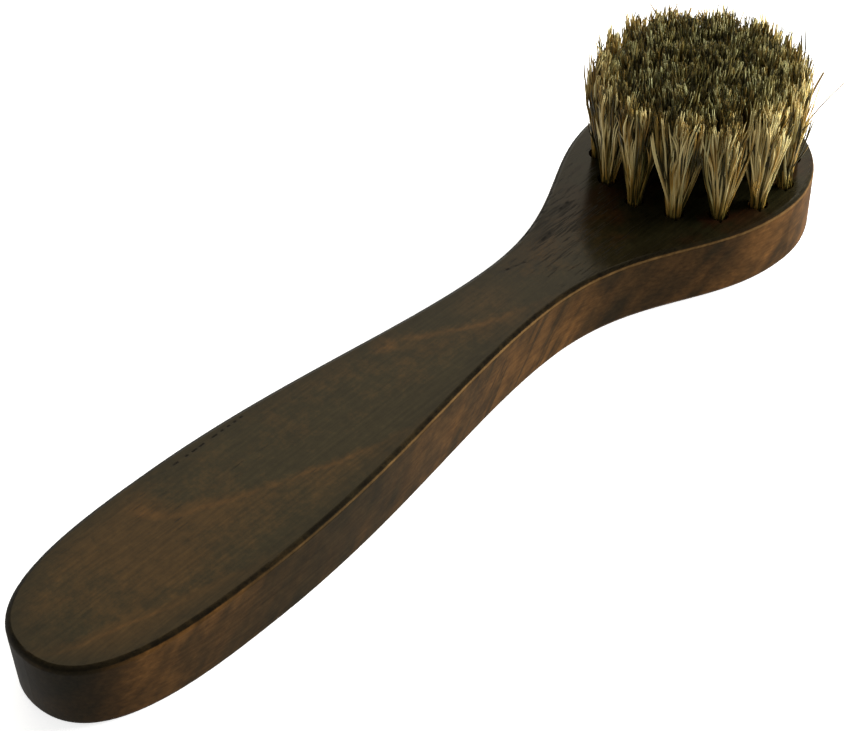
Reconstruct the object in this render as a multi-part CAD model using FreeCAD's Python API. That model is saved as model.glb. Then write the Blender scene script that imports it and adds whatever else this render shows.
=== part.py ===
# Long-handled shoe shine brush: one flat wooden board with a grip, a neck and a round head, and
# rings of bristle tufts. Each tuft is folded over a flat wire anchor and driven into a blind hole.
# Millimetres. +X runs along the handle to the head, +Z is the way the bristles point, and the
# origin is the middle of the flat back.
import FreeCAD, Part
import math
import os

from FreeCAD import Vector

# Board, seen from above
overall_length = 175.0
head_diameter = 43.0
grip_width = 28.5
grip_from_butt = 35.0  # where the grip is widest
neck_width = 15.0
neck_from_tip = 70.0  # where the neck is narrowest

# How far each curve holds its end's direction, as a share of the run between two places
butt_hold = 1.0
grip_hold_to_butt = 0.41
grip_hold_to_neck = 0.39
neck_hold_to_grip = 0.29
neck_hold_to_head = 0.48
head_hold_to_neck = 0.39

# Board, seen from the side
board_thickness = 12.5
face_edge_radius = 1.0
back_edge_radius = 1.0

# Blind holes for the tufts
hole_diameter = 3.6
hole_floor = 3.5  # wood left under the drill's point
drill_point_angle = 118.0
rim_margin = 4.2  # from the outer ring's hole centres to the head's edge
ring_counts = (14, 9, 4)  # from the outermost ring inwards

# Flat wire anchors
anchor_thickness = 0.45
anchor_height = 2.0
anchor_bite = 0.5  # into the wood on each side of the hole
anchor_angle = 45.0  # to the grain, so that the board doesn't split
fold_thickness = 0.8  # bristle under the anchor

# Bristle tufts
bristle_length = 19.0  # out of the face
flare_diameter = 7.8  # of a tuft's free end
crown_overhang = 2.7  # the trimmed crown stands out past the outer ring's hole centres
tuft_clearance = 0.05  # round the folded end in its hole
tuft_gap = 0.3  # between the free ends of two tufts

head_radius = head_diameter / 2
hole_radius = hole_diameter / 2
tip_x = overall_length / 2
head_x = tip_x - head_radius
head_centre = Vector(head_x, 0, 0)
outer_ring_radius = head_radius - rim_margin
drill_point_height = hole_radius / math.tan(math.radians(drill_point_angle / 2))
shoulder_z = hole_floor + drill_point_height
anchor_z = shoulder_z + fold_thickness
bristle_tip_z = board_thickness + bristle_length
up = Vector(0, 0, 1)
flat_tolerance = 0.001


def bezier(poles):
    """An edge on the cubic Bezier curve of four poles."""
    curve = Part.BezierCurve()
    curve.setPoles(poles)
    return curve.toShape()


def side_runs():
    """The poles of the three curves from the middle of the butt to the head, on the +Y side."""
    butt_x = -overall_length / 2
    grip_x = butt_x + grip_from_butt
    grip_y = grip_width / 2
    neck_x = tip_x - neck_from_tip
    neck_y = neck_width / 2
    flank_run = neck_x - grip_x
    throat_run = head_x - neck_x
    butt = [
        Vector(butt_x, 0),
        Vector(butt_x, butt_hold * grip_y),
        Vector(grip_x - grip_hold_to_butt * grip_from_butt, grip_y),
        Vector(grip_x, grip_y),
    ]
    flank = [
        Vector(grip_x, grip_y),
        Vector(grip_x + grip_hold_to_neck * flank_run, grip_y),
        Vector(neck_x - neck_hold_to_grip * flank_run, neck_y),
        Vector(neck_x, neck_y),
    ]
    throat = [
        Vector(neck_x, neck_y),
        Vector(neck_x + neck_hold_to_head * throat_run, neck_y),
        Vector(head_x - head_hold_to_neck * throat_run, head_radius),
        Vector(head_x, head_radius),
    ]
    return [butt, flank, throat]


def board_outline():
    """The closed outline: the side's curves, the head's round tip, and the side mirrored."""
    runs = side_runs()
    mirrored = [[Vector(p.x, -p.y) for p in reversed(run)] for run in reversed(runs)]
    tip = Part.Arc(Vector(head_x, head_radius), Vector(tip_x, 0), Vector(head_x, -head_radius))
    return Part.Wire([*map(bezier, runs), tip.toShape(), *map(bezier, mirrored)])


def edges_at(solid, z):
    """The edges that lie flat at one height."""
    low = z - flat_tolerance
    high = z + flat_tolerance
    return [e for e in solid.Edges if low < e.BoundBox.ZMin and e.BoundBox.ZMax < high]


def plain_board():
    """The board with its edges eased, before it is drilled."""
    blank = Part.Face(board_outline()).extrude(up * board_thickness)
    eased = blank.makeFillet(face_edge_radius, edges_at(blank, board_thickness))
    return eased.makeFillet(back_edge_radius, edges_at(eased, 0))


def tuft_places():
    """Tuft names and hole centres. Every ring starts at the tip and has the outer ring's pitch."""
    places = {}
    for ring, count in enumerate(ring_counts, start=1):
        radius = outer_ring_radius * count / ring_counts[0]
        for k in range(count):
            turn = 2 * math.pi * k / count
            offset = Vector(radius * math.cos(turn), radius * math.sin(turn))
            places[f"tuft_ring{ring}_{k + 1:02d}"] = head_centre + offset
    return places


def turned(profile, centre):
    """The solid that a profile of (radius, height) points makes when turned about an upright axis."""
    points = [centre + Vector(radius, 0, height) for radius, height in profile]
    face = Part.Face(Part.makePolygon([*points, points[0]]))
    return face.revolve(centre, up, 360)


def hole(centre):
    """A drilled blind hole, with the drill's point at its floor."""
    profile = [
        (0, hole_floor),
        (hole_radius, shoulder_z),
        (hole_radius, board_thickness),
        (0, board_thickness),
    ]
    return turned(profile, centre)


def across_hole(centre, height):
    """A plate as long and thick as an anchor, standing across a hole at the anchor's depth."""
    length = hole_diameter + 2 * anchor_bite
    corner = Vector(-length / 2, -anchor_thickness / 2, anchor_z)
    plate = Part.makeBox(length, anchor_thickness, height, corner)
    plate.rotate(Vector(), up, anchor_angle)
    plate.translate(centre)
    return plate


def anchor(centre):
    """The cut length of flat wire that holds one tuft in its hole."""
    return across_hole(centre, anchor_height)


def anchor_groove(centre):
    """The slit that an anchor cuts down a hole's wall as it is driven in."""
    return across_hole(centre, board_thickness - anchor_z)


def board(centres):
    """The board, drilled for every tuft."""
    cuts = [cut for centre in centres for cut in (hole(centre), anchor_groove(centre))]
    return plain_board().cut(cuts)


def clipped(polygon, direction, limit):
    """The part of a convex polygon that reaches no further than limit along direction."""
    kept = []
    for a, b in zip(polygon, polygon[1:] + polygon[:1]):
        past_a = direction.dot(a) - limit
        past_b = direction.dot(b) - limit
        if past_a <= 0:
            kept.append(a)
        if past_a * past_b < 0:
            kept.append(a + (b - a) * (past_a / (past_a - past_b)))
    return kept


def tuft_cell(centre, centres):
    """The upright prism of room that a tuft has between its neighbours."""
    corners = [Vector(x, y) for x, y in ((-1, -1), (1, -1), (1, 1), (-1, 1))]
    polygon = [centre + corner * head_diameter for corner in corners]
    for other in centres:
        if other is not centre:
            direction = (other - centre).normalize()
            middle = (other + centre) / 2
            polygon = clipped(polygon, direction, direction.dot(middle) - tuft_gap / 2)
    face = Part.Face(Part.makePolygon([*polygon, polygon[0]]))
    return face.extrude(up * bristle_tip_z)


def tuft(centre, centres):
    """One tuft: a folded end in the hole, and a free end that flares until it meets its neighbours."""
    root_radius = hole_radius - tuft_clearance
    profile = [
        (0, hole_floor + tuft_clearance),
        (root_radius, shoulder_z + tuft_clearance),
        (root_radius, board_thickness),
        (flare_diameter / 2, bristle_tip_z),
        (0, bristle_tip_z),
    ]
    crown = Part.makeCylinder(outer_ring_radius + crown_overhang, bristle_tip_z, head_centre)
    flared = turned(profile, centre).common(crown).common(tuft_cell(centre, centres))
    return flared.cut(anchor(centre))


def main():
    """Writes each piece to its own STEP file."""
    os.makedirs("parts", exist_ok=True)
    places = tuft_places()
    centres = list(places.values())
    pieces = {name: tuft(centre, centres) for name, centre in places.items()}
    pieces["handle_board"] = board(centres)
    pieces["tuft_anchors"] = Part.makeCompound([anchor(centre) for centre in centres])
    for name, piece in pieces.items():
        piece.exportStep(f"parts/{name}.step")
        print(name, len(piece.Solids), "solids", round(piece.Volume, 2), "mm3", piece.isValid())


main()
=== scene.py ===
import functools
import math
from types import SimpleNamespace

import bpy
import numpy as np
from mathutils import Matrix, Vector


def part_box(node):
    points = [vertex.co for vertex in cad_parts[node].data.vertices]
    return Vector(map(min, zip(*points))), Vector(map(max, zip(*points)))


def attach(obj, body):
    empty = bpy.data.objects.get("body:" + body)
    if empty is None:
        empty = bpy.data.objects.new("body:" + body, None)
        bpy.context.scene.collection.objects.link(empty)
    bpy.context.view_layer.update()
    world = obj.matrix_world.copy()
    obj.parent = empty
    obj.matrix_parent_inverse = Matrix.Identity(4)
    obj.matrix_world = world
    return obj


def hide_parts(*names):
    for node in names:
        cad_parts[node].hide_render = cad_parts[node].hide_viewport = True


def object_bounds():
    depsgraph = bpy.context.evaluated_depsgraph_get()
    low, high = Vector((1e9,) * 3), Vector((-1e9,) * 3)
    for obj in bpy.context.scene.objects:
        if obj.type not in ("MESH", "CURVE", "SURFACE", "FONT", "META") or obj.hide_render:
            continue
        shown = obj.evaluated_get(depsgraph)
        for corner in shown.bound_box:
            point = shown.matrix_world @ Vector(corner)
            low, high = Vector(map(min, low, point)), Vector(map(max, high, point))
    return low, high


bl_info = {
    "name": "Shoe Shine Brush",
    "version": (1, 0, 0),
    "blender": (4, 5, 0),
    "location": "3D View > Sidebar > Brush",
    "description": "Stained wood, folded bristle tufts and a white stage for a long-handled brush",
    "category": "Object",
}

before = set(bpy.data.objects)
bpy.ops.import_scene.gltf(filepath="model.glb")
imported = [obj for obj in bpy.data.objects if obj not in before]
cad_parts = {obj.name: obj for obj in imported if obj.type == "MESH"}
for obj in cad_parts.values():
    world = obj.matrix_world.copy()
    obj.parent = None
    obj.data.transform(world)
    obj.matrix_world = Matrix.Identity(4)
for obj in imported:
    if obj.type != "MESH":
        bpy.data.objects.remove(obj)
CAD_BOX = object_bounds()
MM = 0.001

# Places in the CAD frame, in metres
BOARD_LOW, BOARD_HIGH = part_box("handle_board")
ANCHOR_LOW, ANCHOR_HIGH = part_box("tuft_anchors")
TUFT_NODES = sorted(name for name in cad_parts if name.startswith("tuft_ring"))
FACE_Z = BOARD_HIGH.z
TIP_Z = CAD_BOX[1].z
HEAD_RADIUS = BOARD_HIGH.y
HEAD_CENTRE = np.array([BOARD_HIGH.x - HEAD_RADIUS, 0.0])

# The board's two ends and its thickness, in mm
BUTT_END = BOARD_LOW.x / MM
HEAD_END = BOARD_HIGH.x / MM
THICKNESS = (BOARD_HIGH.z - BOARD_LOW.z) / MM

# Where the stain changes along the board, in mm from its middle: from and to, or the middle of a zone
BUTT_FACE = (-86.0, -76.0)
BUTT_SIDE = (-86.0, -72.0)
RUBBED_AND_LIT_EDGE = (-70.0, -5.0)
WARM_GRIP = (-62.0, -44.0)
STRETCHED_RINGS = (-25.0, -5.0)
OLIVE_MIDDLE = -14.0
SIDE_FLAME = 8.0
THROAT = 32.0
DARK_EDGE_END = (28.0, 50.0)
HEAD_FACE = (30.0, 52.0)

# Growth rings: the parabolas' axis across the board in mm, their bend, how far in mm they are stretched and
# wander, their phase at the middle of the board, and the phase of their pale line
RING_AXIS = 13.0
RING_BEND = -0.072
RING_STRETCH = -8.0
RING_REACH = 14.0
RING_START = 0.258
RING_LINE = 0.03

# Side grain: how far its curls lean, and the dark strokes in a curl along, across and up the board
CURL_LEAN = -0.9
STROKES_IN_CURL = (3.2, 1.0, 1.6)

# How pale the stain is along the board's side: place from butt to tip, and paleness
SIDE_STAIN = (
    (0.0, 0.3), (0.077, 0.85), (0.123, 0.33), (0.17, 0.12), (0.25, 0.06), (0.33, 0.12), (0.4, 0.22),
    (0.47, 0.36), (0.53, 0.34), (0.6, 0.34), (0.631, 0.98), (0.66, 0.28), (0.71, 0.24), (0.765, 0.33),
    (0.8, 0.55), (0.86, 0.78), (0.9, 0.44), (1.0, 0.4),
)

# Rows of long pores on the face: middle along and across the board, half length and half breadth in mm,
# slope, and how broken they are
PORE_ROWS = (
    (-41.0, 11.8, 12.0, 0.3, 0.0, 1.0),
    (30.8, 5.1, 3.4, 0.55, 0.12, 0.3),
    (20.9, 3.9, 3.0, 0.45, -0.28, 0.45),
    (39.2, 8.3, 2.0, 0.5, 0.12, 0.4),
)

# Pale knots on the face: place along and across the board, core and reach in mm, and paleness
KNOTS = ((-8.2, 6.9, 0.4, 3.2, 0.6), (11.0, 2.5, 1.0, 8.5, 0.18))

# Bristles that stand out: tuft, bend and end in mm from the hole's mouth, tone, and thickness to the others'
STRAYS = (
    ("tuft_ring1_13", (0, 0, 6.75), (8.6, -3.6, 13.5), 0.8, 1.3),
    ("tuft_ring1_13", (0, 0, 8.8), (3.7, -2.1, 17.6), 0.1, 2.8),
)

# Bristle tubes: sides, the ends' width to the rest's, and places from tip to mouth on a free end
TUBE_SIDES = 4
END_WIDTH = 0.4
FREE_STEPS = np.array([1.0, 0.88, 0.74, 0.58, 0.4, 0.21, 0.0])[:, None]

# How far out strands and single bristles sit in the hole's mouth, to the folded end's radius
STRANDS_OUT = 0.62
HAIRS_OUT = 0.88

# Bow of the strands, as a mean and a spread, with its limits, and the loose ends' share and stray
STRAND_BOW = (0.05, 0.3)
BOW_LIMITS = (-0.4, 0.9)
LOOSE_SHARE = 0.2
LOOSE_STRAY = 4.0

# Tones of pale and dark strands, their drift along a bristle, and the painted shade at the root with its
# height
PALE_TONES = (0.65, 1.0)
DARK_TONES = (0.02, 0.34)
DRIFT = 0.25
DRIFT_TURN = 11
PAINTED_ROOT_SHADE = 0.6
PAINTED_SHADE_REACH = 0.2

# Steps that fill a unit square evenly: 1 over the plastic number, and 1 over its square
EVEN_STEPS = (0.754877666, 0.569840291)

# How the room shines: the panel's direction and strength, and the way to the darker front
PANEL_DIRECTION = (0.52, 0.51, 0.68)
PANEL_GLOW = (1.8, 1.7, 1.45, 1.0)
FRONT_DIRECTION = (-0.71, -0.70, 0.0)

# Node settings that many nodes share
SMOOTH = {"interpolation_type": "SMOOTHSTEP"}
COLOUR = {"data_type": "RGBA"}


def srgb(hex_colour):
    """A hex colour such as #806040 as linear red, green, blue and alpha."""
    values = np.array([int(hex_colour[i:i + 2], 16) for i in (1, 3, 5)]) / 255
    linear = np.where(values <= 0.04045, values / 12.92, ((values + 0.055) / 1.055) ** 2.4)
    return (*linear.tolist(), 1.0)


def length(name, description, default):
    """A length property, in metres."""
    return bpy.props.FloatProperty(
        name=name, description=description, default=default, unit="LENGTH", precision=5)


def place(name, description, default):
    """A point property, in metres."""
    return bpy.props.FloatVectorProperty(name=name, description=description, default=default, unit="LENGTH")


def angle(name, description, degrees):
    """An angle property, from degrees."""
    return bpy.props.FloatProperty(
        name=name, description=description, default=math.radians(degrees), subtype="ANGLE")


def colour(name, description, hex_colour):
    """A colour property, from an sRGB hex value."""
    return bpy.props.FloatVectorProperty(
        name=name, description=description, default=srgb(hex_colour), size=4, subtype="COLOR", min=0, max=1)


def whole_number(name, description, default):
    """A whole number property."""
    return bpy.props.IntProperty(name=name, description=description, default=default, min=1)


class WoodSettings(bpy.types.PropertyGroup):
    """Stain, figure and finish of the board."""

    face_olive: colour("Face olive", "Stain on the face past a growth ring", "#231e10")
    face_brown: colour("Face brown", "Stain on the face before a growth ring", "#352510")
    head_olive: colour("Head olive", "Stain on the face round the tufts", "#1b1b0d")
    head_red: colour("Head red", "Redder patches round the tufts", "#2c160a")
    ring_tan: colour("Ring tan", "The growth ring's own pale line", "#553819")
    side_dark: colour("Side dark", "Side grain that took more stain", "#1a160b")
    side_orange: colour("Side orange", "Side grain that took less stain", "#5e3f1e")
    end_dark: colour("End dark", "End grain at the butt, which drank more stain", "#15140b")
    # Edge tan is partly bare wood and partly a painted highlight, where the rounding mirrors the bright floor
    edge_tan: colour("Edge tan", "Wood rubbed bare along the edge", "#5c4527")
    # Pore dark also paints the dark line on the edge's rounding, a painted reflection of the dark room in
    # front
    pore_stain_and_edge_shade: colour("Pore dark", "Stain gathered in the pores", "#0b0805")
    lacquer: colour("Lacquer", "Amber that the lacquer gives to what it mirrors", "#ffeecf")
    edge_radius: length("Edge radius", "Easing of the board's edges", 1.0 * MM)
    ring_spacing: length("Ring spacing", "Growth rings along the face", 43 * MM)
    ring_depth: length("Ring depth", "Growth rings through the board", 3 * MM)
    ring_wander: length("Ring wander", "Length of a growth ring's wandering", 22 * MM)
    fibre_width: length("Fibre width", "Width of a fibre streak", 0.5 * MM)
    fibre_length: length("Fibre length", "Length of a fibre streak", 9 * MM)
    pore_width: length("Pore width", "Width of an open pore, drawn coarser than it is", 0.2 * MM)
    pore_length: length("Pore length", "Length of an open pore", 3.0 * MM)
    pore_group: length("Pore group", "Size of a place with more open pores", 15 * MM)
    pore_dash: length("Pore dash", "Length of the breaks in a row of pores", 4 / 3 * MM)
    patch_size: length("Patch size", "Size of uneven stain patches", 12 * MM)
    fleck_size: length("Fleck size", "Size of flecks in the stain", 5 / 3 * MM)
    curl_width: length("Curl width", "Width of a curl in the side grain", 4.5 * MM)
    curl_length: length("Curl length", "Height of a curl in the side grain", 16 * MM)
    side_patch: length("Side patch", "Size of uneven stain patches on the side", 9 * MM)


class WireSettings(bpy.types.PropertyGroup):
    """Shape and finish of the anchor wire."""

    slant: angle("Slant", "Angle of the anchors to the grain", 45)
    thickness: length("Thickness", "Thickness of the wire", 0.45 * MM)
    line_length: length("Line length", "Length of a drawing line", 2.5 * MM)
    line_width: length("Line width", "Width of a drawing line, coarser than it is", MM / 9)
    dark: colour("Dark", "Steel in a drawing line", "#8f8f8c")
    bright: colour("Bright", "Steel between the drawing lines", "#c4c4c0")


class BristleSettings(bpy.types.PropertyGroup):
    """Count, size and colours of the folded bristles."""

    count: whole_number("Count", "Folded bristles in a tuft", 144)
    strands: whole_number("Strands", "Pairs of strands that a tuft's bristles gather in", 48)
    # Bristles are finer than this, and are drawn coarser and fewer
    diameter: length("Diameter", "Thickness of a bristle, drawn coarser than it is", 0.27 * MM)
    flare_radius: length("Flare radius", "Spread of a free tuft at its tips", 4.6 * MM)
    tuft_gap: length("Tuft gap", "Room between the tips of two tufts", -0.1 * MM)
    crown_overhang: length("Crown overhang", "Crown past the outer ring's hole centres", 1.5 * MM)
    crown_rise: length("Crown rise", "Longest bristles above the solids' tips at a tuft's rim", 1.5 * MM)
    strand_wave: length("Strand wave", "Sideways wander of a strand", 0.8 * MM)
    hair_wave: length("Hair wave", "Sideways wander of a bristle in its strand", 0.1 * MM)
    mouth_scatter: length("Mouth scatter", "Scatter of a strand's bristles in the hole", 0.12 * MM)
    tip_scatter: length("Tip scatter", "Scatter of a strand's tips", 0.28 * MM)
    tip_jitter: length("Tip jitter", "Scatter of the strands in a tuft", 0.9 * MM)
    tuft_lean: length("Tuft lean", "Scatter of the way a whole tuft leans", 0.4 * MM)
    trim: length("Trim", "Unevenness of the trimmed tips", 0.65 * MM)
    dome: length("Dome", "Drop of a tuft's rim below its middle", 1.8 * MM)
    bulge: length("Bulge", "Bulge of the tufts' outer side", 0.1 * MM)
    rim_wear: length("Rim wear", "Unevenness of the tips along the crown's rim", 4.2 * MM)
    splay: length("Splay", "How far the rim's tips stand in or out", 0.8 * MM)
    blond: colour("Blond", "Palest bristles, golden", "#f6e29e")
    ash: colour("Ash", "Palest bristles, grey", "#dacf96")
    rust: colour("Rust", "Middle bristles, warm", "#a8823a")
    olive: colour("Olive", "Middle bristles, grey", "#897d44")
    dark: colour("Dark", "Darkest bristles", "#322d0c")
    # The tip shade is partly polish and partly painted shade, for the dim, cool light on the crown's top
    tip: colour("Tip", "Shade of the worn tips", "#bcc5c2")
    sheen: colour("Sheen", "Warmth of the waxy shine", "#fff4dc")
    seed: whole_number("Seed", "Seed of the bristles' scatter", 7)


class StageSettings(bpy.types.PropertyGroup):
    """Camera, floor and lights."""

    target: place("Target", "Point that the camera looks at", (2.265 * MM, 7.959 * MM, 0))
    distance: length("Distance", "From the camera to its target", 323.75 * MM)
    azimuth: angle("Azimuth", "Camera turn about the upright axis", -45.449)
    elevation: angle("Elevation", "Camera height above the horizon", 42.887)
    roll: angle("Roll", "Camera turn about its own axis", -2.004)
    lens: bpy.props.FloatProperty(
        name="Lens", description="Focal length on a 36 mm sensor", default=80.76, unit="CAMERA")
    floor_white: colour("Floor white", "Pale floor", "#e8e8e6")
    floor_size: length("Floor size", "Width of the floor", 6.0)
    floor_tooth: length("Floor tooth", "Grain of the paper, drawn coarser than it is", 10 / 9 * MM)
    floor_gap: length("Floor gap", "From the floor up to the board", 0.05 * MM)
    key_place: place("Key place", "Where the key light hangs, aimed at the middle", (0.76, -0.29, 0.22))
    key_width: length("Key width", "Width of the key light", 0.8)
    key_height: length("Key height", "Height of the key light", 0.4)
    key_power: bpy.props.FloatProperty(
        name="Key power", description="Strength of the key light", default=29.0, unit="POWER")


class BrushSettings(bpy.types.PropertyGroup):
    """All settings of the brush."""

    wood: bpy.props.PointerProperty(type=WoodSettings)
    wire: bpy.props.PointerProperty(type=WireSettings)
    bristle: bpy.props.PointerProperty(type=BristleSettings)
    stage: bpy.props.PointerProperty(type=StageSettings)


def add_node(tree, kind, inputs=(), output=None, **settings):
    """Adds a shader node, and gives back the output that is named, or else the first one in use.
    kind is the node's type without its ShaderNode prefix. inputs are values or other nodes' outputs, by the
    sockets' names or in the order of the sockets in use. settings are the node's own properties."""
    node = tree.nodes.new("ShaderNode" + kind)
    for name, value in settings.items():
        setattr(node, name, value)
    if isinstance(inputs, dict):
        pairs = [(node.inputs[name], value) for name, value in inputs.items()]
    else:
        pairs = zip([socket for socket in node.inputs if socket.enabled], inputs)
    for socket, value in pairs:
        if isinstance(value, bpy.types.NodeSocket):
            tree.links.new(value, socket)
        else:
            socket.default_value = value
    if output:
        return node.outputs[output]
    return next((socket for socket in node.outputs if socket.enabled), None)


def new_material(name):
    """An empty node material, and what adds a node to its tree."""
    material = bpy.data.materials.new(name)
    material.use_nodes = True
    material.node_tree.nodes.clear()
    return material, functools.partial(add_node, material.node_tree)


def fill_ramp(ramp, values):
    """Sets a new ramp's stops to pairs of place and grey value, from 0 to 1."""
    stops = ramp.node.color_ramp.elements
    for where, value in values[1:-1]:
        stops.new(where)
    for stop, (where, value) in zip(stops, values):
        stop.color = (value, value, value, 1)


def node_points(name):
    """The points of a CAD node, one in each row."""
    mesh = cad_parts[name].data
    points = np.empty(len(mesh.vertices) * 3)
    mesh.vertices.foreach_get("co", points)
    return points.reshape(-1, 3)


def half_widths(wood):
    """Half the board's width at places from butt to tip, closer together towards the ends, as shares of its
    length and of the head's radius. The width is read between the CAD points where the eased edge starts."""
    points = node_points("handle_board")
    start = points[:, 2].max() - wood.edge_radius
    outline = points[(np.abs(points[:, 2] - start) < 0.01 * MM) & (points[:, 1] >= 0)]
    outline = outline[np.argsort(outline[:, 0])]
    places = (1 - np.cos(np.linspace(0, np.pi, 30))) / 2
    along = BOARD_LOW.x + places * (BOARD_HIGH.x - BOARD_LOW.x)
    widths = np.interp(along, outline[:, 0], outline[:, 1]) / HEAD_RADIUS
    return list(zip(places.tolist(), widths.tolist()))


def board_places(node, wood):
    """What the board's stain follows: the point in mm, how far round the eased edge it lies (0 on the side,
    1 on the face or the back), how far it lies inside the outline, and the stain's patches and flecks."""
    mm = node("VectorMath", (node("TexCoord", output="Object"), 1 / MM), operation="SCALE")
    x, y, z = node("SeparateXYZ", (mm,)).node.outputs
    above_middle = node("Math", (z, THICKNESS / 2), operation="SUBTRACT")
    from_middle = node("Math", (above_middle,), operation="ABSOLUTE")
    edge = node("MapRange", (from_middle, THICKNESS / 2 - wood.edge_radius / MM, THICKNESS / 2))
    on_face = node("MapRange", (edge, 0.5, 0.7), **SMOOTH)

    along = node("MapRange", (x, BUTT_END, HEAD_END))
    half_width = node("ValToRGB", (along,))
    fill_ramp(half_width, half_widths(wood))
    half_width = node("Math", (half_width, HEAD_RADIUS / MM), operation="MULTIPLY")
    off_axis = node("Math", (y,), operation="ABSOLUTE")
    to_outline = node("Math", (half_width, off_axis), operation="SUBTRACT")

    patch = node("TexNoise", {"Vector": mm, "Scale": MM / wood.patch_size, "Detail": 4, "Roughness": 0.6})
    fleck = node("TexNoise", {"Vector": mm, "Scale": MM / wood.fleck_size, "Detail": 3, "Roughness": 0.7})
    mottle = node("Math", (patch, fleck), operation="ADD")
    mottle = node("MapRange", (mottle, 0.75, 1.25, -0.5, 0.5))
    return SimpleNamespace(
        mm=mm, x=x, y=y, z=z, above_middle=above_middle, edge=edge, on_face=on_face, to_outline=to_outline,
        patch=patch, fleck=fleck, mottle=mottle)


def growth_rings(node, wood, at):
    """How warm the stain is from one growth ring to the next, and the rings' own pale line.
    On the face a ring is a parabola, because the board was cut across a leaning trunk. It is stretched
    towards the head, dips into the board and wanders by noise. The phase goes from 0 at a ring to 1 at the
    next."""
    across = node("Math", (at.y, RING_AXIS), operation="SUBTRACT")
    across = node("Math", (across, across), operation="MULTIPLY")
    along = node("Math", (across, RING_BEND, at.x), operation="MULTIPLY_ADD")
    stretch = node("MapRange", (at.x, *STRETCHED_RINGS, 0.0, RING_STRETCH))
    along = node("Math", (along, stretch), operation="ADD")
    below_face = node("Math", (at.z, THICKNESS), operation="SUBTRACT")
    dipped = node("Math", (below_face, wood.ring_spacing / wood.ring_depth, along), operation="MULTIPLY_ADD")
    wander = node("TexNoise", {
        "Vector": at.mm, "Scale": MM / wood.ring_wander, "Detail": 5, "Roughness": 0.55})
    warped = node("Math", (wander, RING_REACH, dipped), operation="MULTIPLY_ADD")
    rings = node("Math", (warped, MM / wood.ring_spacing, RING_START), operation="MULTIPLY_ADD")
    phase = node("Math", (rings,), operation="FRACT")
    warm_fall = node("MapRange", (phase, RING_LINE, 0.16, 1.0, 0.0), **SMOOTH)
    warm_rise = node("MapRange", (phase, 0.3, 1.0))
    warm = node("Math", (warm_fall, warm_rise), operation="MAXIMUM")
    from_line = node("Math", (phase, RING_LINE), operation="SUBTRACT")
    from_line = node("Math", (from_line,), operation="ABSOLUTE")
    line = node("MapRange", (from_line, 0.0, 0.045, 1.0, 0.0), **SMOOTH)
    return warm, line


def open_pores(node, wood, at):
    """How open the face's pores are: short ones along the grain, in groups and more of them in the throat,
    and rows of long deep ones, broken along the grain."""
    # The wood's own pores are under a tenth of a millimetre wide, too fine to show, so they are drawn coarser
    narrow = MM / wood.pore_width
    grain = node("VectorMath", (at.mm, (MM / wood.pore_length, narrow, narrow)), operation="MULTIPLY")
    single = node("TexNoise", {"Vector": grain, "Scale": 1.0, "Detail": 0})
    group = node("TexNoise", {"Vector": at.mm, "Scale": MM / wood.pore_group, "Detail": 1})
    total = node("Math", (group, 0.5, single), operation="MULTIPLY_ADD")
    far_side = node("MapRange", (at.y, -8.0, 8.0, -0.06, 0.02))
    from_throat = node("Math", (at.x, THROAT), operation="SUBTRACT")
    from_throat = node("Math", (from_throat,), operation="ABSOLUTE")
    in_throat = node("MapRange", (from_throat, 6.0, 20.0, 0.2, 0.0))
    total = node("Math", (total, far_side), operation="ADD")
    total = node("Math", (total, in_throat), operation="ADD")
    pore = node("MapRange", (total, 1.06, 1.12), **SMOOTH)
    pore = node("Math", (pore, 0.75), operation="MULTIPLY")

    dash = node("VectorMath", (at.mm, (MM / wood.pore_dash, 0.0, 0.0)), operation="MULTIPLY")
    dash = node("TexNoise", {"Vector": dash, "Scale": 1.0, "Detail": 0})
    dash = node("MapRange", (dash, 0.46, 0.54))
    for row_x, row_y, half_length, half_breadth, slope, broken in PORE_ROWS:
        off_x = node("Math", (at.x, row_x), operation="SUBTRACT")
        off_y = node("Math", (at.y, row_y), operation="SUBTRACT")
        off_y = node("Math", (off_x, -slope, off_y), operation="MULTIPLY_ADD")
        off_x = node("Math", (off_x,), operation="ABSOLUTE")
        off_y = node("Math", (off_y,), operation="ABSOLUTE")
        row_end = node("MapRange", (off_x, 0.6 * half_length, half_length, 1.0, 0.0))
        row_side = node("MapRange", (off_y, half_breadth / 3, half_breadth, 1.0, 0.0))
        row = node("Math", (row_end, row_side), operation="MULTIPLY")
        gaps = node("MapRange", (dash, 0.0, 1.0, 1.0 - broken, 1.0))
        row = node("Math", (row, gaps), operation="MULTIPLY")
        pore = node("Math", (pore, row), operation="MAXIMUM")
    return node("Math", (pore, at.on_face), operation="MULTIPLY")


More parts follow.
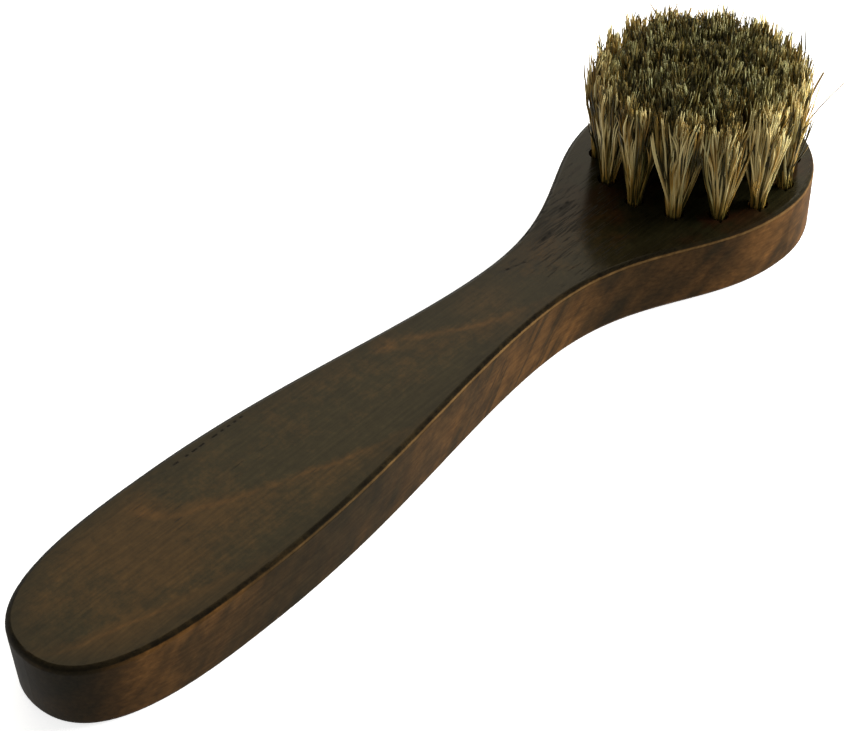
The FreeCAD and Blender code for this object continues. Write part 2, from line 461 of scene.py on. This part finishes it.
def face_stain(node, wood, at):
    """The face's colour: olive to brown across a ring, mottled, with the ring's pale line and pale knots. The
    head is olive with redder patches, and the face is darker towards the outline and at the butt."""
    warm, line = growth_rings(node, wood, at)
    at_head = node("MapRange", (at.x, *HEAD_FACE, 0.0, -1.0))
    from_middle = node("Math", (at.x, -OLIVE_MIDDLE), operation="ADD")
    from_middle = node("Math", (from_middle,), operation="ABSOLUTE")
    at_middle = node("MapRange", (from_middle, 12.0, 36.0, -0.4, 0.0))
    at_grip = node("MapRange", (at.x, *WARM_GRIP, 0.5, 0.0))
    for change in (at_head, at_middle, at_grip):
        warm = node("Math", (warm, change), operation="ADD")
    warm = node("Math", (warm, at.mottle), operation="ADD", use_clamp=True)
    face = node("Mix", (warm, wood.face_olive, wood.face_brown), **COLOUR)

    strength = node("MapRange", (at.patch, 0.35, 0.65, 0.05, 0.5))
    strength = node("Math", (at_head, 0.5, strength), operation="MULTIPLY_ADD")
    line = node("Math", (line, strength), operation="MULTIPLY", use_clamp=True)
    inside = node("MapRange", (at.to_outline, 2.5, 6.0))
    line = node("Math", (line, inside), operation="MULTIPLY")
    face = node("Mix", (line, face, wood.ring_tan), **COLOUR)
    flecked = node("MapRange", (at.fleck, 0.3, 0.6, 0.4, 1.2))
    for knot_x, knot_y, core, reach, paleness in KNOTS:
        to_knot = node("VectorMath", (at.mm, (knot_x, knot_y, THICKNESS)), operation="DISTANCE")
        knot = node("MapRange", (to_knot, core, reach, paleness, 0.0), **SMOOTH)
        knot = node("Math", (knot, flecked), operation="MULTIPLY")
        face = node("Mix", (knot, face, wood.ring_tan), **COLOUR)

    # The face turns a darker olive round the tufts
    round_tufts = node("Math", (at_head, -0.75), operation="MULTIPLY")
    reddened = node("MapRange", (at.patch, 0.48, 0.62), **SMOOTH)
    head = node("Mix", (reddened, wood.head_olive, wood.head_red), **COLOUR)
    face = node("Mix", (round_tufts, face, head), **COLOUR)
    # The face is darker within a few mm of its outline
    near_outline = node("MapRange", (at.to_outline, 0.5, 5.5, 0.75, 0.0), **SMOOTH)
    face = node("Mix", (near_outline, face, wood.side_dark), **COLOUR)
    at_butt = node("MapRange", (at.x, *BUTT_FACE, 0.6, 0.0), **SMOOTH)
    return node("Mix", (at_butt, face, wood.end_dark), **COLOUR)


def side_stain(node, wood, at):
    """The side's colour: dark to orange along the board, with curls and dark strokes that lean across its
    thickness, and dark end grain at the butt."""
    leaning = node("Math", (at.above_middle, CURL_LEAN, at.x), operation="MULTIPLY_ADD")
    tall = MM / wood.curl_length
    curled = node("CombineXYZ", (leaning, at.y, at.z))
    curled = node("VectorMath", (curled, (MM / wood.curl_width, tall, tall)), operation="MULTIPLY")
    curl = node("TexNoise", {"Vector": curled, "Scale": 1.0, "Detail": 2})
    broad = node("TexNoise", {"Vector": at.mm, "Scale": MM / wood.side_patch, "Detail": 3})
    bare = node("Math", (curl, broad), operation="ADD")
    bare = node("MapRange", (bare, 0.75, 1.25, 0.3, 1.7))
    along = node("MapRange", (leaning, BUTT_END, HEAD_END))
    paleness = node("ValToRGB", (along,))
    fill_ramp(paleness, SIDE_STAIN)
    bare = node("Math", (bare, paleness), operation="MULTIPLY", use_clamp=True)
    side = node("Mix", (bare, wood.side_dark, wood.side_orange), **COLOUR)

    stroke = node("VectorMath", (curled, STROKES_IN_CURL), operation="MULTIPLY")
    stroke = node("TexNoise", {"Vector": stroke, "Scale": 1.0, "Detail": 2})
    stroke = node("MapRange", (stroke, 0.5, 0.62), **SMOOTH)
    from_flame = node("Math", (at.x, SIDE_FLAME), operation="SUBTRACT")
    from_flame = node("Math", (from_flame,), operation="ABSOLUTE")
    at_flame = node("MapRange", (from_flame, 6.0, 18.0, 0.65, 0.15))
    stroke = node("Math", (stroke, at_flame), operation="MULTIPLY")
    side = node("Mix", (stroke, side, wood.side_dark), **COLOUR)
    at_butt = node("MapRange", (at.x, *BUTT_SIDE, 0.8, 0.0), **SMOOTH)
    return node("Mix", (at_butt, side, wood.end_dark), **COLOUR)


def edge_wear_and_painted_reflections(node, wood, at, stain):
    """The stain with its edge: tan on the outer part of the rounding, partly bare from rubbing where hands
    reach and partly a painted highlight of the bright floor mirrored there, and inside it an uneven dark
    line, a painted reflection of the dark room in front, that fades out towards the head."""
    # Tan band: partly bare wood and partly a painted highlight, where the lower rounding mirrors the bright
    # floor
    rise = node("MapRange", (at.edge, 0.12, 0.3), **SMOOTH)
    fall = node("MapRange", (at.edge, 0.48, 0.6, 1.0, 0.0), **SMOOTH)
    band = node("Math", (rise, fall), operation="MULTIPLY")
    rubbed_and_lit = node("MapRange", (at.x, *RUBBED_AND_LIT_EDGE, 0.0, 0.65))
    rubbed_and_lit = node("Math", (at.patch, 0.7, rubbed_and_lit), operation="MULTIPLY_ADD")
    rubbed_and_lit = node("MapRange", (rubbed_and_lit, 0.4, 1.0))
    band = node("Math", (band, rubbed_and_lit), operation="MULTIPLY")
    stain = node("Mix", (band, stain, wood.edge_tan), **COLOUR)

    # Painted reflection: a dark line where the upper rounding mirrors the dark room in front of the brush
    rise = node("MapRange", (at.edge, 0.56, 0.66), **SMOOTH)
    fall = node("MapRange", (at.edge, 0.97, 0.998, 0.85, 0.0), **SMOOTH)
    line = node("Math", (rise, fall), operation="MULTIPLY")
    off_head = node("MapRange", (at.x, *DARK_EDGE_END, 1.0, 0.2))
    line = node("Math", (line, off_head), operation="MULTIPLY")
    uneven = node("MapRange", (at.mottle, -0.3, 0.3, 1.0, 0.3))
    line = node("Math", (line, uneven), operation="MULTIPLY")
    return node("Mix", (line, stain, wood.pore_stain_and_edge_shade), **COLOUR)


def stained_wood(wood):
    """Flat-sawn hardwood, sanded, stained dark and lacquered to a satin.
    The eye sees a brown face with a few slanting growth rings, olive past each ring and warm before it, with
    two pale knots, fine fibre and short open pores along the grain, and darker towards the outline and round
    the tufts.
    The side is warmer and curled, with orange where the neck took less stain and near black end grain at the
    butt. The edge has a painted dark reflection inside, and outside a tan that is partly bare from rubbing
    and partly a painted highlight."""
    material, node = new_material("stained_lacquered_hardwood")
    at = board_places(node, wood)
    side = side_stain(node, wood, at)
    face = face_stain(node, wood, at)
    pore = open_pores(node, wood, at)
    stain = node("Mix", (at.on_face, side, face), **COLOUR)
    stain = edge_wear_and_painted_reflections(node, wood, at, stain)

    # Single fibres are too fine to show, so they are drawn as coarser streaks
    narrow = MM / wood.fibre_width
    grain = node("VectorMath", (at.mm, (MM / wood.fibre_length, narrow, narrow)), operation="MULTIPLY")
    fibre = node("TexNoise", {"Vector": grain, "Scale": 1.0, "Detail": 3})
    streak = node("MapRange", (fibre, 0.3, 0.7, 0.74, 1.26))
    fleck = node("MapRange", (at.fleck, 0.3, 0.7, 0.76, 1.24))
    streak = node("Math", (streak, fleck), operation="MULTIPLY")
    stain = node("VectorMath", (stain, streak), operation="SCALE")
    stain = node("Mix", (pore, stain, wood.pore_stain_and_edge_shade), **COLOUR)

    relief = node("Math", (fibre, pore), operation="SUBTRACT")
    bump = node("Bump", {"Height": relief, "Strength": 0.12, "Distance": 0.1 * MM})
    rough = node("MapRange", (at.edge, 0.9, 1.0, 0.5, 0.1))
    rough = node("Math", (at.patch, 0.12, rough), operation="MULTIPLY_ADD")
    rough = node("Math", (pore, 0.5, rough), operation="MULTIPLY_ADD")
    shader = node("BsdfPrincipled", {
        "Base Color": stain, "Roughness": rough, "IOR": 1.5, "Specular IOR Level": 0.12,
        "Specular Tint": wood.lacquer, "Normal": bump})
    node("OutputMaterial", {"Surface": shader})
    return material


def boar_bristle(bristle):
    """Natural bristle, washed and cut: each one blond, tan or dark along its length, with a soft waxy shine.
    The tips are darker and greyer, partly where polish has worked in and partly as painted shade for the
    dim, cool light on the crown's top."""
    material, node = new_material("natural_bristle")
    tone, warmth, height = (
        node("Attribute", attribute_name=name, output="Fac") for name in ("tone", "warmth", "height"))
    middle = node("Mix", (warmth, bristle.olive, bristle.rust), **COLOUR)
    pale = node("Mix", (warmth, bristle.ash, bristle.blond), **COLOUR)
    to_middle = node("MapRange", (tone, 0.1, 0.5))
    to_pale = node("MapRange", (tone, 0.5, 1.0))
    shade = node("Mix", (to_middle, bristle.dark, middle), **COLOUR)
    shade = node("Mix", (to_pale, shade, pale), **COLOUR)
    # Painted shade in part: the tips are multiplied darker and greyer for the crown's dimly lit top, and
    # partly for polish
    at_tip = node("MapRange", (height, 0.78, 0.96), **SMOOTH)
    polished_and_shaded = node("Mix", (at_tip, shade, bristle.tip), blend_type="MULTIPLY", **COLOUR)
    shader = node("BsdfPrincipled", {
        "Base Color": polished_and_shaded, "Roughness": 0.35, "IOR": 1.55, "Specular IOR Level": 0.36,
        "Specular Tint": bristle.sheen})
    node("OutputMaterial", {"Surface": shader})
    return material


def anchor_wire(wire):
    """Drawn steel wire, rolled flat and cut: grey, with fine lines along its length."""
    material, node = new_material("flat_drawn_steel_wire")
    position = node("TexCoord", output="Object")
    # The lines that a die leaves are too fine to show, so they are drawn coarser
    drawn = (1 / wire.line_length, 1 / wire.line_length, 1 / wire.line_width)
    drawn = node("VectorMath", (position, drawn), operation="MULTIPLY")
    lines = node("TexNoise", {"Vector": drawn, "Scale": 1.0, "Detail": 2})
    rough = node("MapRange", (lines, 0.0, 1.0, 0.3, 0.5))
    shade = node("Mix", (lines, wire.dark, wire.bright), **COLOUR)
    shader = node("BsdfPrincipled", {"Base Color": shade, "Metallic": 1.0, "Roughness": rough})
    node("OutputMaterial", {"Surface": shader})
    return material


def floor_paper(stage):
    """White paper: flat white with a very faint tooth."""
    material, node = new_material("white_paper")
    position = node("TexCoord", output="Object")
    # Paper's tooth is too fine to show, so it is drawn coarser
    tooth = node("TexNoise", {"Vector": position, "Scale": 1 / stage.floor_tooth, "Detail": 2})
    rough = node("MapRange", (tooth, 0.0, 1.0, 0.85, 1.0))
    shader = node("BsdfPrincipled", {
        "Base Color": stage.floor_white, "Roughness": rough, "Specular IOR Level": 0.1,
        "Emission Color": srgb("#ffffff"), "Emission Strength": 0.75})
    node("OutputMaterial", {"Surface": shader})
    return material


def hole_centre(node):
    """The middle and the radius of a tuft's folded end: the box round the CAD points below the anchors."""
    points = node_points(node)
    folded = points[points[:, 2] < ANCHOR_LOW.z]
    low, high = folded.min(axis=0), folded.max(axis=0)
    return (low + high)[:2] / 2, (high - low)[0] / 2


def spread_room(directions, centre, others, bristle, crown_radius):
    """How far a tuft spreads along unit directions: half way to each neighbour less half the gap, or to the
    crown's rim (where the ray leaves a circle round the head's centre), or to its own flare, whichever is
    least."""
    apart = others - centre
    distance = np.linalg.norm(apart, axis=1)
    facing = directions @ (apart / distance[:, None]).T
    to_neighbours = ((distance - bristle.tuft_gap) / 2 / np.maximum(facing, 1e-6)).min(axis=1)
    offset = centre - HEAD_CENTRE
    along = directions @ offset
    to_rim = np.sqrt(along ** 2 + crown_radius ** 2 - offset @ offset) - along
    return np.minimum(np.minimum(to_neighbours, to_rim), bristle.flare_radius)


def tuft_strands(centre, others, bristle, slant, crown_radius, random):
    """A tuft's strands, in pairs that mirror each other across the anchor, as arrays of (pairs, 2, ...).
    Their tips fill the tuft's room evenly: one even share gives the angle, and the root of another how far
    out. A tip drops with the square of that, for the dome. With the sixth power of a tip's distance from the
    head's centre to the crown's radius, it stands in or out, bulges and wears shorter, and with the fourth
    it is more often pale, so the crown's inside is darker, partly as painted shade."""
    pairs = bristle.strands
    even = (random.random(2) + np.arange(pairs)[:, None] * EVEN_STEPS) % 1
    share = np.sqrt(0.03 + 0.97 * even[:, 0])[:, None, None]
    turn = np.pi * even[:, 1]
    heading = slant + np.stack([turn, -turn], axis=1) + random.normal(0, 0.1, (pairs, 2))
    direction = np.stack([np.cos(heading), np.sin(heading)], axis=2)
    room = spread_room(direction.reshape(-1, 2), centre, others, bristle, crown_radius).reshape(pairs, 2, 1)
    tip = centre + direction * room * share + random.normal(0, bristle.tuft_lean, 2)
    tip = tip + random.normal(0, bristle.tip_jitter, (pairs, 2, 2))
    bow = np.clip(random.normal(*STRAND_BOW, (pairs, 2)), *BOW_LIMITS)
    wander = random.normal(0, bristle.strand_wave, (pairs, 2, 2))
    drop = bristle.dome * share[:, :, 0] ** 2 + np.abs(random.normal(0, bristle.trim, (pairs, 2)))

    outward = tip - HEAD_CENTRE
    outward = outward / np.linalg.norm(outward, axis=2, keepdims=True)
    rim = np.linalg.norm(tip - HEAD_CENTRE, axis=2) / crown_radius
    tip = tip - outward * (np.maximum(rim - 1, 0) * crown_radius)[:, :, None]
    rim = np.minimum(rim, 1)
    splay = np.minimum(random.normal(0, bristle.splay, (pairs, 2)), 1.5 * bristle.splay) * rim ** 6
    tip = tip + outward * splay[:, :, None]
    pushed_out = np.maximum((wander * outward).sum(axis=2), 0)
    wander = wander + outward * (bristle.bulge * rim ** 6 - 0.7 * pushed_out)[:, :, None]
    drop = drop + np.abs(random.normal(0, bristle.rim_wear, (pairs, 2))) * rim ** 6
    # Partly painted shade: strands inside the crown are more often dark and those on its rim more often pale
    is_pale = random.normal(0, 1, (pairs, 2)) > 0.65 - 0.65 * rim ** 4
    pale, dark = random.uniform(*PALE_TONES, (pairs, 2)), random.uniform(*DARK_TONES, (pairs, 2))
    warmth = random.normal(0.5, 0.3, (pairs, 2)) + 0.25 * rim ** 4
    return SimpleNamespace(
        share=share, direction=direction, tip=tip, bow=bow, wander=wander, drop=drop, rim=rim,
        tone=np.where(is_pale, pale, dark), warmth=warmth)


def free_ends(strands, strand, centre, root_radius, bristle, random):
    """Each bristle's two places in the hole's mouth, and its two ends from the tips down.
    An end goes from mouth to tip by t (1 + b (1 - t)) with a bow b, wanders with its strand by t sin(pi t),
    ripples by t squared sin(2 pi t), and strays by t squared. One end in five is loose, and strays more."""
    hairs = bristle.count
    t = FREE_STEPS
    mouth = (strands.direction * strands.share * root_radius * STRANDS_OUT)[strand]
    mouth = mouth + random.normal(0, bristle.mouth_scatter, (hairs, 2, 2))
    furthest = HAIRS_OUT * root_radius / np.linalg.norm(mouth, axis=2, keepdims=True)
    mouth = centre + mouth * np.minimum(1, furthest)
    bow = strands.bow[strand] + random.normal(0, 0.07, (hairs, 2))
    loose = np.where(random.random((hairs, 2, 1)) < LOOSE_SHARE, LOOSE_STRAY, 1.0)
    stray = random.normal(0, bristle.tip_scatter, (hairs, 2, 2)) * loose
    ripple = random.normal(0, bristle.strand_wave, (bristle.strands, 2, 2))[strand] * 0.5
    ripple = ripple + random.normal(0, bristle.hair_wave, (hairs, 2, 2)) * loose
    way = (strands.tip[strand] - mouth)[:, :, None]
    flat = mouth[:, :, None] + way * t * (1 + bow[:, :, None, None] * (1 - t))
    flat = flat + strands.wander[strand][:, :, None] * np.sin(np.pi * t) * t
    flat = flat + ripple[:, :, None] * np.sin(2 * np.pi * t) * t ** 2
    flat = flat + stray[:, :, None] * t ** 2
    drop = strands.drop[strand] + np.abs(random.normal(0, 0.5 * bristle.trim, (hairs, 2)))
    reach = TIP_Z - FACE_Z + bristle.dome + bristle.crown_rise - drop
    return mouth, np.concatenate([flat, FACE_Z + reach[:, :, None, None] * t], axis=3)


def anchor_folds(mouth, centre, bristle, wire):
    """Where each bristle passes its anchor, clear of both sides, and where it turns under the anchor's
    middle, lower by a quarter of its distance from the anchor."""
    across = np.array([-math.sin(wire.slant), math.cos(wire.slant)])
    offset = (mouth - centre) @ across
    clear = (wire.thickness + bristle.diameter) / 2
    pushed = np.maximum(np.abs(offset), clear) * (1, -1) - offset
    low = np.full((bristle.count, 2, 1), ANCHOR_LOW.z)
    beside = np.concatenate([mouth + pushed[:, :, None] * across, low], axis=2)
    under = ANCHOR_LOW.z - bristle.diameter / 2 - 0.25 * np.abs(offset).max(axis=1)
    fold = np.concatenate([beside[:, :, :2].mean(axis=1), under[:, None]], axis=1)
    return beside, fold


def bristle_looks(paths, strands, strand, bristle, random):
    """What the bristles' material reads at each point: the height, from 0 at the face to 1 at the tips and
    less on the crown's rim, and the strand's tone and warmth, which drift along it by a sine of the height.
    The tone falls towards the root, as painted shade of the tuft's lower part."""
    half = paths.shape[1] // 2
    points = (half + 1, half)
    height = (paths[:, :, 2] - FACE_Z) / (TIP_Z - FACE_Z)
    # The height is lower on the crown's rim, so the painted tip shade spares the rim's tips
    looks = {"height": height * np.repeat(1 - 0.28 * strands.rim[strand] ** 4, points, axis=1)}
    for name, values in (("tone", strands.tone), ("warmth", strands.warmth)):
        values = values[strand] + random.normal(0, 0.1, (bristle.count, 2))
        phase = random.uniform(0, 6.3, (bristle.strands, 2))[strand]
        drift = DRIFT * np.sin(DRIFT_TURN * height + np.repeat(phase, points, axis=1))
        looks[name] = np.clip(np.repeat(values, points, axis=1) + drift, 0, 1)
    # Painted shade: the tone falls towards the root, where the tuft shades its own bristles
    looks["tone"] = looks["tone"] * (1 - PAINTED_ROOT_SHADE * np.exp(-np.maximum(height, 0) / PAINTED_SHADE_REACH))
    return looks


def folded_bristles(hole, others, bristle, wire, crown_radius, random):
    """Centre lines of a tuft's bristles, as (bristles, points, 3), and their looks. A bristle goes down one
    side of the anchor, round under it and up the other, and its two ends belong to one pair of strands."""
    centre, root_radius = hole
    strand = np.arange(bristle.count) % bristle.strands
    strands = tuft_strands(centre, others, bristle, wire.slant, crown_radius, random)
    mouth, ends = free_ends(strands, strand, centre, root_radius, bristle, random)
    beside, fold = anchor_folds(mouth, centre, bristle, wire)
    down = np.concatenate([ends[:, 0], beside[:, :1]], axis=1)
    back_up = np.concatenate([ends[:, 1], beside[:, 1:]], axis=1)[:, ::-1]
    paths = np.concatenate([down, fold[:, None], back_up], axis=1)
    return paths, bristle_looks(paths, strands, strand, bristle, random)


def tubes(paths, radii, level):
    """Square-ended tubes: a ring of points carried along every path at once.
    A ring's axes are the level direction made square to the path, and the cross product of the two.
    Returns the points and the four-sided faces, ends included."""
    number, steps = paths.shape[:2]
    tangent = np.gradient(paths, axis=1)
    tangent /= np.linalg.norm(tangent, axis=2, keepdims=True)
    first = level - tangent * (tangent @ level)[:, :, None]
    first /= np.linalg.norm(first, axis=2, keepdims=True)
    second = np.cross(tangent, first)
    turn = 2 * np.pi * np.arange(TUBE_SIDES) / TUBE_SIDES
    ring = np.cos(turn)[:, None] * first[:, :, None] + np.sin(turn)[:, None] * second[:, :, None]
    points = paths[:, :, None] + ring * radii[:, :, None, None]
    index = np.arange(number * steps * TUBE_SIDES).reshape(number, steps, TUBE_SIDES)
    turned = np.roll(index, -1, axis=2)
    walls = np.stack([index[:, :-1], turned[:, :-1], turned[:, 1:], index[:, 1:]], axis=3)
    ends = np.concatenate([index[:, 0, ::-1], index[:, -1]])
    return points.reshape(-1, 3), np.concatenate([walls.reshape(-1, 4), ends])


def mesh_piece(name, points, faces, material, attributes):
    """A mesh object with smooth faces, one material and float attributes on its points."""
    mesh = bpy.data.meshes.new(name)
    mesh.from_pydata(points, [], faces.tolist())
    mesh.polygons.foreach_set("use_smooth", np.ones(len(faces), bool))
    for attribute, values in attributes.items():
        mesh.attributes.new(attribute, "FLOAT", "POINT").data.foreach_set("value", values.astype(np.float32))
    mesh.materials.append(material)
    piece = bpy.data.objects.new(name, mesh)
    bpy.context.collection.objects.link(piece)
    return piece


class BRUSH_OT_board(bpy.types.Operator):
    """Stains and lacquers the wooden board"""

    bl_idname = "brush.board"
    bl_label = "Board"

    def execute(self, context):
        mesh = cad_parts["handle_board"].data
        mesh.materials.clear()
        mesh.materials.append(stained_wood(context.scene.brush.wood))
        return {"FINISHED"}


class BRUSH_OT_anchors(bpy.types.Operator):
    """Gives the wire anchors their steel"""

    bl_idname = "brush.anchors"
    bl_label = "Anchors"

    def execute(self, context):
        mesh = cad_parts["tuft_anchors"].data
        mesh.materials.clear()
        mesh.materials.append(anchor_wire(context.scene.brush.wire))
        return {"FINISHED"}


class BRUSH_OT_tufts(bpy.types.Operator):
    """Fills every hole with folded bristles"""

    bl_idname = "brush.tufts"
    bl_label = "Bristle tufts"

    def execute(self, context):
        bristle, wire = context.scene.brush.bristle, context.scene.brush.wire
        material = boar_bristle(bristle)
        holes = {node: hole_centre(node) for node in TUFT_NODES}
        centres = np.array([centre for centre, radius in holes.values()])
        crown_radius = np.linalg.norm(centres - HEAD_CENTRE, axis=1).max() + bristle.crown_overhang
        level = np.array([math.cos(wire.slant), math.sin(wire.slant), 0.0])
        for k, (node, hole) in enumerate(holes.items()):
            random = np.random.default_rng(bristle.seed + k)
            others = np.delete(centres, k, axis=0)
            paths, looks = folded_bristles(hole, others, bristle, wire, crown_radius, random)
            thickness = bristle.diameter / 2 * random.uniform(0.7, 1.2, (bristle.count, 1))
            radii = np.repeat(thickness, paths.shape[1], axis=1)
            radii[:, [0, -1]] *= END_WIDTH
            points, faces = tubes(paths, radii, level)
            attributes = {name: np.repeat(look, TUBE_SIDES) for name, look in looks.items()}
            piece = mesh_piece(node.replace("tuft", "bristles"), points, faces, material, attributes)
            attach(piece, "root")
            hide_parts(node)
        return {"FINISHED"}


class BRUSH_OT_strays(bpy.types.Operator):
    """Adds the few bristles that stand out from the crown"""

    bl_idname = "brush.strays"
    bl_label = "Stray bristles"

    def execute(self, context):
        # A stray is the curve 2 t (1 - t) bend + t squared end from its hole's mouth, with a root in the hole
        bristle = context.scene.brush.bristle
        mouths = np.array([(*hole_centre(node)[0], FACE_Z) for node, *rest in STRAYS])[:, None]
        bends, ends = (np.array([stray[i] for stray in STRAYS])[:, None] * MM for i in (1, 2))
        tone, width = (np.array([stray[i] for stray in STRAYS]) for i in (3, 4))
        t = np.linspace(0, 1, 11)[:, None]
        rooted = mouths + (0, 0, ANCHOR_HIGH.z - FACE_Z)
        paths = np.concatenate([rooted, mouths + bends * 2 * t * (1 - t) + ends * t ** 2], axis=1)
        radii = bristle.diameter / 2 * width[:, None] * np.linspace(1, 0.5, paths.shape[1])
        points, faces = tubes(paths, radii, np.array([0.0, 1.0, 0.0]))
        attributes = {
            "height": np.zeros(len(points)),
            "tone": np.repeat(tone, len(points) // len(STRAYS)),
            "warmth": np.zeros(len(points)),
        }
        material = bpy.data.materials["natural_bristle"]
        piece = mesh_piece("stray_bristles", points, faces, material, attributes)
        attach(piece, "root")
        return {"FINISHED"}


class BRUSH_OT_stage(bpy.types.Operator):
    """Lays the white floor, sets the lights and places the camera"""

    bl_idname = "brush.stage"
    bl_label = "Stage"

    def execute(self, context):
        stage = context.scene.brush.stage
        half = stage.floor_size / 2
        corners = np.array([(-half, -half, 0), (half, -half, 0), (half, half, 0), (-half, half, 0)])
        corners[:, 2] = BOARD_LOW.z - stage.floor_gap
        floor = mesh_piece("floor", corners, np.array([[0, 1, 2, 3]]), floor_paper(stage), {})
        floor.visible_glossy = False
        floor.visible_diffuse = False
        self.light_room(context)
        self.hang_key(context, stage)
        self.place_camera(context, stage)
        return {"FINISHED"}

    def light_room(self, context):
        """A room that is pale at the horizon, dim overhead and a little darker in front, with a bright panel
        behind the brush."""
        world = bpy.data.worlds.new("soft_studio")
        world.use_nodes = True
        world.node_tree.nodes.clear()
        node = functools.partial(add_node, world.node_tree)
        direction = node("TexCoord", output="Generated")
        panel = node("VectorMath", (direction, PANEL_DIRECTION), operation="DOT_PRODUCT")
        panel = node("MapRange", (panel, 0.80, 0.93), **SMOOTH)
        glow = node("Mix", (panel, srgb("#000000"), PANEL_GLOW), **COLOUR)
        upward = node("SeparateXYZ", (direction,), output="Z")
        room = node("MapRange", (upward, 0.12, 0.5, 1.0, 0.18), **SMOOTH)
        horizon = node("MapRange", (upward, -0.08, 0.0, 0.6, 1.0))
        room = node("Math", (room, horizon), operation="MULTIPLY")
        front = node("VectorMath", (direction, FRONT_DIRECTION), operation="DOT_PRODUCT")
        front = node("MapRange", (front, -0.1, 0.8, 1.15, 0.82), **SMOOTH)
        room = node("Math", (room, front), operation="MULTIPLY")
        shine = node("VectorMath", (glow, room), operation="ADD")
        background = node("Background", {"Color": shine})
        node("OutputWorld", {"Surface": background})
        context.scene.world = world
        context.scene.view_settings.view_transform = "Standard"

    def hang_key(self, context, stage):
        """One large light from the right, which glossy surfaces don't mirror."""
        light = bpy.data.lights.new("key", "AREA")
        light.shape = "RECTANGLE"
        light.size = stage.key_width
        light.size_y = stage.key_height
        light.energy = stage.key_power
        lamp = bpy.data.objects.new("key", light)
        lamp.location = stage.key_place
        lamp.visible_glossy = False
        lamp.rotation_mode = "QUATERNION"
        lamp.rotation_quaternion = (-lamp.location).to_track_quat("-Z", "Y")
        context.collection.objects.link(lamp)

    def place_camera(self, context, stage):
        """The camera looks back along the direction given by its azimuth and elevation, then rolls."""
        data = bpy.data.cameras.new("camera")
        data.sensor_width = 36
        data.lens = stage.lens
        data.clip_start = 0.01
        camera = bpy.data.objects.new("camera", data)
        a, e, r = stage.azimuth, stage.elevation, stage.roll
        back = np.array([math.sin(a) * math.cos(e), -math.cos(a) * math.cos(e), math.sin(e)])
        right = np.array([math.cos(a), math.sin(a), 0.0])
        up = np.cross(back, right)
        right, up = right * math.cos(r) + up * math.sin(r), up * math.cos(r) - right * math.sin(r)
        matrix = np.eye(4)
        matrix[:3, :3] = np.stack([right, up, back], axis=1)
        matrix[:3, 3] = np.array(stage.target) + back * stage.distance
        camera.matrix_world = matrix.T
        context.collection.objects.link(camera)
        context.scene.camera = camera


OPERATORS = (BRUSH_OT_stage, BRUSH_OT_board, BRUSH_OT_anchors, BRUSH_OT_tufts, BRUSH_OT_strays)


class BRUSH_PT_panel(bpy.types.Panel):
    """Lists the brush's operators and settings"""

    bl_idname = "BRUSH_PT_panel"
    bl_label = "Shoe Shine Brush"
    bl_space_type = "VIEW_3D"
    bl_region_type = "UI"
    bl_category = "Brush"

    def draw(self, context):
        for operator in OPERATORS:
            self.layout.operator(operator.bl_idname)
        settings = context.scene.brush
        for group in (settings.wood, settings.wire, settings.bristle, settings.stage):
            column = self.layout.column()
            for name in type(group).__annotations__:
                column.prop(group, name)


CLASSES = (
    WoodSettings, WireSettings, BristleSettings, StageSettings, BrushSettings, *OPERATORS, BRUSH_PT_panel)


def register():
    for cls in CLASSES:
        bpy.utils.register_class(cls)
    bpy.types.Scene.brush = bpy.props.PointerProperty(type=BrushSettings)


def unregister():
    del bpy.types.Scene.brush
    for cls in reversed(CLASSES):
        bpy.utils.unregister_class(cls)


def main():
    register()
    bpy.ops.brush.stage()
    bpy.ops.brush.board()
    bpy.ops.brush.anchors()
    bpy.ops.brush.tufts()
    bpy.ops.brush.strays()


if __name__ == "__main__":
    main()
